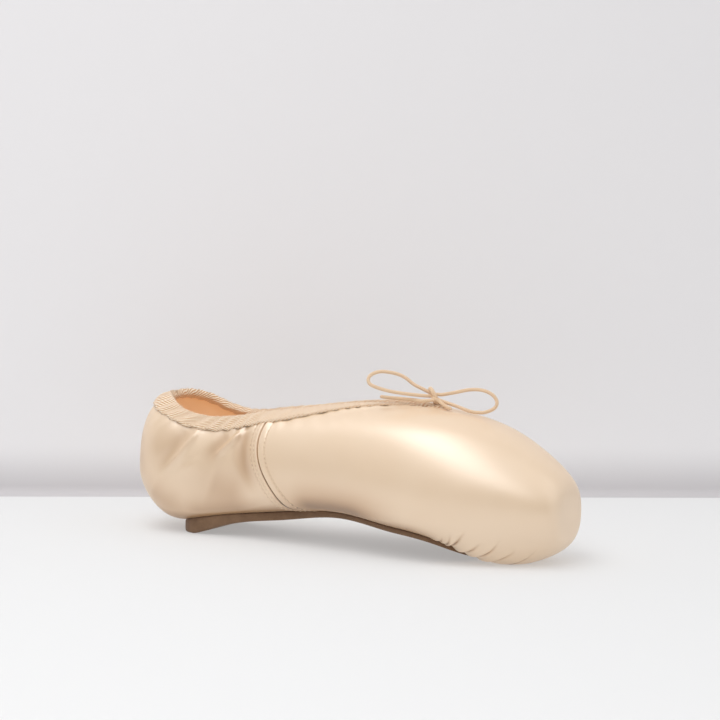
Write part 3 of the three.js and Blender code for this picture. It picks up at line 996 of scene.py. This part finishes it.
def satin_piece(name, t, settings, *replaced):
    """The last's surface over places t round the shoe, raised by the satin's relief, with both long
    edges turned in towards the wall."""
    hem = settings.hem / MM
    ribs = Ribs(t)
    run = ribs.length[:, None] * crowded(np.linspace(0, 1, settings.satin_rows))[None]
    base = ribs.at(run)
    out = normal(base)
    below = run - ribs.binding[:, None]
    _, wave = gathers(ribs, settings.gather_spacing / MM)
    pucker = PUCKER * wave[:, None] * np.exp(-np.maximum(below, 0) / PUCKER_REACH)
    high, place, width = CREST
    crest = high * bell(below - place, width) * smooth(base[:, :1, 0], 95, 125)
    height, shade = satin_height(base)
    # Cloth that faces the floor behind the toe lies in the shoe's own shade.
    hidden = smooth(-base[..., 0], -190, -165) * smooth(-out[..., 2], 0.3, 0.9)
    shade = np.maximum(shade, 0.75 * hidden)
    points = base + out * (height + pucker + crest)[..., None]
    points[..., 2] = np.maximum(points[..., 2], 0.02)
    top = points[:, :1] - out[:, :1] * hem
    low = points[:, -1:] - out[:, -1:] * hem
    points = np.concatenate([top, points, low], 1)
    shade = np.concatenate([shade[:, :1], shade, shade[:, -1:]], 1)
    piece = make_object(name, points, grid_faces(*points.shape[:2]), arc_uv(points), shade)
    return finish_piece(piece, "satin", "satin", *replaced)


class SHOE_OT_satin(bpy.types.Operator):
    """Draws the satin vamp and quarter over the last, with seams, folds and pleats"""

    bl_idname = "shoe.satin"
    bl_label = "Satin vamp and quarter"

    def execute(self, context):
        s = context.scene.shoe_settings
        for name, middle, reach, share, replaced in (
            ("satin_vamp", 0, SEAM, 1, ["upper"]),
            ("satin_quarter", 0.5, 0.5 - SEAM, 0.7, []),
        ):
            across = np.linspace(-1, 1, round(s.satin_columns * share))
            t = middle + reach * np.sign(across) * crowded(np.abs(across))
            satin_piece(name, t, s, *replaced)
        return {"FINISHED"}


class SHOE_OT_lining(bpy.types.Operator):
    """Lays the cotton lining on the wall's inner face"""

    bl_idname = "shoe.lining"
    bl_label = "Lining"

    def execute(self, context):
        ribs = Ribs(np.linspace(0, 1, 240, endpoint=False))
        base = ribs.at(ribs.length[:, None] * np.linspace(0, 1, 60)[None])
        points = base - normal(base) * wall(base[..., 0])[..., None]
        edge = base[:, :1] - normal(base[:, :1]) * 0.4
        points = np.concatenate([edge, points], 1)
        piece = make_object(
            "cotton_lining", points, grid_faces(*points.shape[:2], ring_rows=True)[:, ::-1])
        finish_piece(piece, "lining", "insole_cloth")
        return {"FINISHED"}


VAMP_SHARE = 0.35                   # the gathers' depth beside the vamp, as a share of the heel's
EDGE_WAVE = 0.45                    # how far the binding's lower edge waves up and down


def gathers(ribs, spacing):
    """Uneven waves round the collar: sines of the distance round it, whose pace drifts."""
    edge = ribs.at(np.zeros((1, 1)))[:, 0]
    run = run_along(edge)
    phase = 2 * np.pi * run / spacing
    wave = np.sin(phase + 1.4 * np.sin(phase * 0.17) + 0.5) + 0.45 * np.sin(phase * 0.41 + 1)
    return run, wave


class SHOE_OT_binding(bpy.types.Operator):
    """Folds the gathered twill casing over the collar's edge"""

    bl_idname = "shoe.binding"
    bl_label = "Collar binding"

    def execute(self, context):
        s = context.scene.shoe_settings
        ribs = Ribs(np.linspace(0, 1, 900, endpoint=False), 220)
        run, wave = gathers(ribs, s.gather_spacing / MM)
        heel = smooth(-ribs.traced[:, 0, 0], -100, -55)     # 1 at the heel, 0 beside the vamp
        puff = s.gather_depth / MM * wave * (VAMP_SHARE + (1 - VAMP_SHARE) * heel)
        height = ribs.binding + EDGE_WAVE * heel * np.roll(wave, 6)
        lift = unit(ribs.traced[:, 0] - ribs.at(np.full((1, 1), 1.0))[:, 0])
        down = np.linspace(1, 0, 12)
        leg = ribs.at(height[:, None] * down[None])
        out = normal(leg)
        swell = np.sin(np.pi * np.clip(1 - down, 0.08, 0.9)) ** 0.7
        outer = leg + out * (GAP + BINDING_CLOTH + puff[:, None] * swell)[..., None]
        inner_leg = ribs.at(0.5 * height[:, None] * np.linspace(0, 1, 6)[None])
        inner_out = normal(inner_leg)
        depth = wall(inner_leg[..., 0]) + GAP + BINDING_CLOTH
        inside = inner_leg - inner_out * (depth - 0.3 * puff[:, None])[..., None]
        edge, edge_out = leg[:, -1], out[:, -1]
        thickness = wall(edge[:, 0]) + 2 * (GAP + BINDING_CLOTH)
        turn = np.linspace(0, np.pi, 7)[1:-1]
        across = np.cos(turn)[None] * thickness[:, None] / 2 - wall(edge[:, 0])[:, None] / 2
        over = np.sin(turn)[None] * (1.0 + 0.25 * wave[:, None])
        fold = edge[:, None] + edge_out[:, None] * across[..., None]
        fold = fold + lift[:, None] * over[..., None]
        hem = leg[:, :1] + out[:, :1] * 0.25
        tuck = inner_leg[:, -1:] - inner_out[:, -1:] * (wall(inner_leg[:, -1:, 0]) + 0.1)[..., None]
        points = np.concatenate([hem, outer, fold, inside, tuck], 1)
        uv = arc_uv(points)
        uv[..., 0] = run[:, None]
        faces = grid_faces(*points.shape[:2], ring_rows=True)
        piece = make_object("twill_collar_binding", points, faces, uv)
        finish_piece(piece, "twill", "twill", "collar_binding")
        return {"FINISHED"}


class SHOE_OT_fray(bpy.types.Operator):
    """Frays the binding's folded edge into short yarn ends"""

    bl_idname = "shoe.fray"
    bl_label = "Frayed edge"

    def execute(self, context):
        chance = np.random.default_rng(7)
        count = 2600                        # yarn ends, 0.35 to 1.15 mm long and 0.26 mm thick
        ribs = Ribs(np.linspace(0, 1, 900, endpoint=False), 60)
        pick = chance.integers(0, 900, count)
        edge = ribs.traced[pick, 0]
        out = normal(edge)
        lift = unit(edge - ribs.at(np.full((1, 1), 1.0))[pick, 0])
        along = np.cross(lift, out)
        thick = wall(edge[:, 0]) / 2 + GAP + BINDING_CLOTH
        place = chance.uniform(-1, 1, count)
        root = edge - out * (wall(edge[:, 0]) / 2)[:, None] + out * (place * thick)[:, None]
        root = root + lift * (0.75 * np.sqrt(1 - place ** 2))[:, None]
        aim = unit(lift + out * (place * 0.9)[:, None] + along * chance.normal(0, 0.5, (count, 1)))
        curl = chance.normal(0, 0.35, (count, 1)) * along
        size = chance.uniform(0.35, 1.15, count)[:, None]
        part = np.linspace(0, 1, 4)
        middle = root[:, None] + (aim * size)[:, None] * part[None, :, None]
        middle = middle + (curl * size)[:, None] * (part ** 2)[None, :, None]
        width = 0.13 * np.array([1, 0.85, 0.6, 0.15])
        angle = np.array([0, 2, 4]) * np.pi / 3
        spread = np.cos(angle)[:, None] * along[:, None] + np.sin(angle)[:, None] * out[:, None]
        points = middle[:, :, None] + spread[:, None] * width[None, :, None, None]
        one = grid_faces(4, 3, ring_columns=True)
        faces = (one[None] + 12 * np.arange(count)[:, None, None]).reshape(-1, 4)
        piece = make_object("frayed_twill_edge", points, faces)
        finish_piece(piece, "thread", "twill")
        return {"FINISHED"}


# Rows of thread beside each side seam: distance from it (towards the toe above zero). The last row
# lies 0.2 mm outside its holes, where the cloth folds under.
SEAM_STITCHES = [4.1, -2.0, -4.1]
BINDING_STITCH_INSET = 1.1          # up from the binding's lower edge


def stitches(name, path, out, length, width, gap_share):
    """A row of short threads: one small tube, bent into the cloth at both ends, is set along the
    path by arrays."""
    pitch = length * (1 + gap_share)
    run = run_along(path)
    starts = np.arange(pitch, run[-1] - pitch, pitch)
    parts = np.linspace(0, 1, 6)
    at = starts[:, None] + parts[None] * length
    line = np.stack([np.interp(at, run, path[:, k]) for k in range(3)], -1)
    away = unit(np.stack([np.interp(at, run, out[:, k]) for k in range(3)], -1))
    line = line + away * (np.sin(np.pi * parts) * 0.22 - 0.08)[None, :, None]
    tangent = unit(np.gradient(line, axis=1))
    side = np.cross(tangent, away)
    angle = np.linspace(0, 2 * np.pi, 6, endpoint=False)
    thin = width / 2 * np.array([0.35, 0.9, 1, 1, 0.9, 0.35])[None, :, None, None]
    ring = (np.cos(angle)[:, None] * side[:, :, None] + np.sin(angle)[:, None] * away[:, :, None])
    points = line[:, :, None] + ring * thin
    one = grid_faces(6, 6, ring_columns=True)
    faces = (one[None] + 36 * np.arange(len(starts))[:, None, None]).reshape(-1, 4)
    return make_object(name, points, faces)


class SHOE_OT_seams(bpy.types.Operator):
    """Sews the rows of stitches beside the two side seams and along the binding"""

    bl_idname = "shoe.seams"
    bl_label = "Stitches"

    def execute(self, context):
        s = context.scene.shoe_settings
        length = s.stitch_length / MM
        for side, t in (("left", SEAM), ("right", 1 - SEAM)):
            seam = seam_path(t)
            out = normal(seam)
            forwards = unit(np.cross(np.gradient(seam, axis=0), out))
            forwards = forwards * np.sign(forwards[:, :1])
            for row, distance in enumerate(SEAM_STITCHES, 1):
                path = cast(seam + forwards * distance)
                away = normal(path)
                path = path + away * satin_height(path)[0][:, None]
                keep = slice(7, -8)         # the rest lies under the binding and the sole
                piece = stitches(
                    f"seam_stitches_{side}_{row}", path[keep], away[keep], length,
                    width=0.32, gap_share=0.35)
                finish_piece(piece, "thread", "satin")
        ribs = Ribs(np.linspace(0, 1, 500), 80)
        path = ribs.at(ribs.binding[:, None] - BINDING_STITCH_INSET)[:, 0]
        away = normal(path)
        path = path + away * (GAP + BINDING_CLOTH + 0.05)
        piece = stitches("binding_stitches", path, away, length, width=0.3, gap_share=0.3)
        finish_piece(piece, "thread", "twill")
        return {"FINISHED"}


def round_end(distance, reach, fullness):
    into = np.clip(1 - distance / reach, 0, 1)
    return (1 - into ** fullness) ** (1 / fullness)


def plate(name, table, ends, stations, across, top_of, bottom_of, bevel):
    """A thin piece along the foot: at each station its top runs across, its edge turns by a
    half-round, and its underside runs back."""
    rear, front = table[0, 0], table[-1, 0]
    f = np.linspace(0.012, 0.988, stations)
    x = rear + (front - rear) * (1 - np.cos(np.pi * f)) / 2
    half = spline(table[:, 0], table[:, 1])(x)
    half = half * round_end(x - rear, ends[0], ends[1]) * round_end(front - x, ends[2], ends[3])
    s = np.linspace(-1, 1, across)
    inset = np.minimum(bevel, half * 0.4)
    y = s[None] * (half - inset)[:, None]
    xs = np.broadcast_to(x[:, None], y.shape)
    top = np.stack([xs, y, top_of(xs, y)], -1)
    low = np.stack([xs, y, bottom_of(xs, y)], -1)
    turn = np.linspace(0, np.pi, 9)[1:-1]

    def edge(sign):
        a = top[:, -1 if sign > 0 else 0]
        b = low[:, -1 if sign > 0 else 0]
        middle, rise = (a + b) / 2, (a - b) / 2
        bulge = np.sin(turn) ** 0.5
        out = np.array([0, sign, 0])
        return middle[:, None] + rise[:, None] * np.cos(turn)[None, :, None] + (
            inset[:, None] * bulge[None])[..., None] * out

    loop = np.concatenate([top, edge(1), low[:, ::-1], edge(-1)[:, ::-1]], 1)
    return make_object(name, loop, tube_faces(*loop.shape[:2]))


class SHOE_OT_outsole(bpy.types.Operator):
    """Cuts the leather outsole to the foot's underside, flat under the heel"""

    bl_idname = "shoe.outsole"
    bl_label = "Outsole"

    def execute(self, context):
        thickness = spline(OUTSOLE[:, 0], OUTSOLE[:, 2])
        follow = spline(OUTSOLE[:, 0], OUTSOLE[:, 3])

        def top(x, y):
            return underside(x, y) - 0.1

        def bottom(x, y):
            curve = (underside(x, y) - underside(x, 0 * y)) * follow(x)
            return np.maximum(0, underside(x, 0 * y) + curve - GAP - thickness(x))

        piece = plate("leather_outsole", OUTSOLE, OUTSOLE_ENDS, 160, 33, top, bottom, bevel=0.8)
        finish_piece(piece, "leather", "sole_leather", "outsole")
        return {"FINISHED"}


class SHOE_OT_insole(bpy.types.Operator):
    """Lays the sock on the inside of the foot's bottom"""

    bl_idname = "shoe.insole"
    bl_label = "Insole"

    def execute(self, context):
        def bottom(x, y):
            p = np.stack([x, y, underside(x, y)], -1)
            return p[..., 2] + (wall(x) + INSOLE_REST) / -normal(p)[..., 2]

        def top(x, y):
            return bottom(x, y) + INSOLE_THICKNESS

        piece = plate("insole_sock", INSOLE, INSOLE_ENDS, 90, 21, top, bottom, bevel=0.5)
        finish_piece(piece, "sock", "insole_cloth", "insole")
        return {"FINISHED"}


def area_light(name, energy, size, size_y, place, turn=None, colour="#ffffff"):
    """A soft box that looks at the shoe's middle or, where a turn is given, straight down."""
    light = bpy.data.lights.new(name, "AREA")
    light.shape = "RECTANGLE"
    light.size, light.size_y, light.energy = size, size_y, energy
    light.color = linear(colour)[:3]
    made = bpy.data.objects.new(name, light)
    bpy.context.scene.collection.objects.link(made)
    made.location = place
    aim = Vector((0, 0, 0.03)) - Vector(place)
    aimed = aim.to_track_quat("-Z", "Y").to_euler()
    made.rotation_euler = aimed if turn is None else (0, 0, turn)
    return made


def stage_material(name, colour, glow, foot=None):
    """Matt paper, lit a little from behind. A wall's foot is darkened by painted shade, which clears
    over 30 mm, and its back is clear, so that the shoe shows from behind it too."""
    material, tree, shader = new_material(name)
    put(shader, Base_Color=colour, Roughness=0.9, Specular_IOR_Level=0.1)
    put(shader, Emission_Color=linear("#ffffff"), Emission_Strength=glow)
    if foot:
        place = add_node(tree, "TexCoord").outputs["Object"]
        level = add_node(tree, "SeparateXYZ", {"Vector": place}).outputs["Z"]
        rise = add_node(tree, "MapRange", {
            "Value": level, "From Min": 0.0, "From Max": 0.03, "To Min": 0.0, "To Max": 1.0,
        }, interpolation_type="SMOOTHSTEP")
        clearing = add_node(tree, "Mix", {
            0: rise.outputs["Result"], A: foot, B: "#ffffff",
        }, data_type="RGBA")
        tint = add_node(tree, "Mix", {
            0: 1.0, A: colour, B: clearing.outputs[MIXED],
        }, data_type="RGBA", blend_type="MULTIPLY")
        tree.links.new(tint.outputs[MIXED], shader.inputs["Base Color"])
        behind = add_node(tree, "NewGeometry").outputs["Backfacing"]
        clear = add_node(tree, "BsdfTransparent")
        mix = add_node(tree, "MixShader", {
            0: behind, 1: shader.outputs["BSDF"], 2: clear.outputs["BSDF"],
        })
        tree.links.new(mix.outputs["Shader"], tree.nodes["Material Output"].inputs["Surface"])
    return material


class SHOE_OT_stage(bpy.types.Operator):
    """Sets the floor, the wall behind the shoe, and the soft studio light"""

    bl_idname = "shoe.stage"
    bl_label = "Stage"

    def execute(self, context):
        s = context.scene.stage_settings
        turn = s.azimuth + s.wall_turn
        away = Vector((-math.sin(turn), math.cos(turn), 0))
        side = Vector((math.cos(turn), math.sin(turn), 0))
        near, wide, tall, cove = 1.6, 2.0, 1.6, 0.005
        bend = np.linspace(0, np.pi / 2, 7)
        reach = np.append(s.wall_distance - cove + cove * np.sin(bend), s.wall_distance)
        rise = np.append(cove * (1 - np.cos(bend)), tall)
        for name, across, up, colour, glow, foot in (
            ("floor", [-near, near], [0, 0], s.floor_colour, s.floor_glow, None),
            # The backdrop's foot colour is painted shade along the cove where the wall meets the floor.
            ("backdrop", reach, rise, s.wall_colour, s.wall_glow, "#dad8d9"),
        ):
            points = [away * d + side * w + Vector((0, 0, h))
                      for d, h in zip(across, up) for w in (-wide, wide)]
            mesh = bpy.data.meshes.new(name)
            mesh.from_pydata(points, [], grid_faces(len(up), 2)[:, ::-1].tolist())
            mesh.materials.append(stage_material(f"{name}_paper", colour, glow, foot))
            made = bpy.data.objects.new(name, mesh)
            context.scene.collection.objects.link(made)
            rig.stage(made)
        area_light("overhead_softbox", 18, 3.6, 0.55, (0.06, -0.72, 1.0), math.radians(-56))
        area_light("side_fill", 6, 2.4, 2.0, (1.6, 0.5, 0.9))
        world = bpy.data.worlds.new("studio")
        world.use_nodes = True
        tree = world.node_tree
        sky = tree.nodes["Background"]
        put(sky, Color=linear("#f4f5f7"))
        view = add_node(tree, "TexCoord").outputs["Generated"]
        level = add_node(tree, "SeparateXYZ", {"Vector": view}).outputs["Z"]
        glow = add_node(tree, "MapRange", {
            "Value": level, "From Min": 0.1, "From Max": 0.8, "To Min": 0.3, "To Max": 0.78,
        })
        tree.links.new(glow.outputs["Result"], sky.inputs["Strength"])
        context.scene.world = world
        context.scene.view_settings.view_transform = "Standard"
        return {"FINISHED"}


STEPS = [
    SHOE_OT_camera, SHOE_OT_drawstring, SHOE_OT_satin, SHOE_OT_lining, SHOE_OT_binding,
    SHOE_OT_fray, SHOE_OT_seams, SHOE_OT_outsole, SHOE_OT_insole, SHOE_OT_stage,
]


class SHOE_PT_panel(bpy.types.Panel):
    """Lists the shoe's pieces and their sizes"""

    bl_label = "Pointe shoe"
    bl_idname = "SHOE_PT_panel"
    bl_space_type = "VIEW_3D"
    bl_region_type = "UI"
    bl_category = "Pointe shoe"

    def draw(self, context):
        for settings in (context.scene.shoe_settings, context.scene.stage_settings):
            for name in type(settings).__annotations__:
                self.layout.prop(settings, name)
        for step in STEPS:
            self.layout.operator(step.bl_idname)


CLASSES = [ShoeSettings, StageSettings, *STEPS, SHOE_PT_panel]


def register():
    for one in CLASSES:
        bpy.utils.register_class(one)
    bpy.types.Scene.shoe_settings = PointerProperty(type=ShoeSettings)
    bpy.types.Scene.stage_settings = PointerProperty(type=StageSettings)


def unregister():
    del bpy.types.Scene.shoe_settings
    del bpy.types.Scene.stage_settings
    for one in reversed(CLASSES):
        bpy.utils.unregister_class(one)


def main():
    register()
    for step in STEPS:
        group, name = step.bl_idname.split(".")
        getattr(getattr(bpy.ops, group), name)()
    boxes = {
        "cad": [list(corner) for corner in CAD_BOX],
        "visual": [list(corner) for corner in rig.bounds()],
    }
    with open("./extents.json", "w") as out:
        json.dump(boxes, out)


if __name__ == "__main__":
    main()
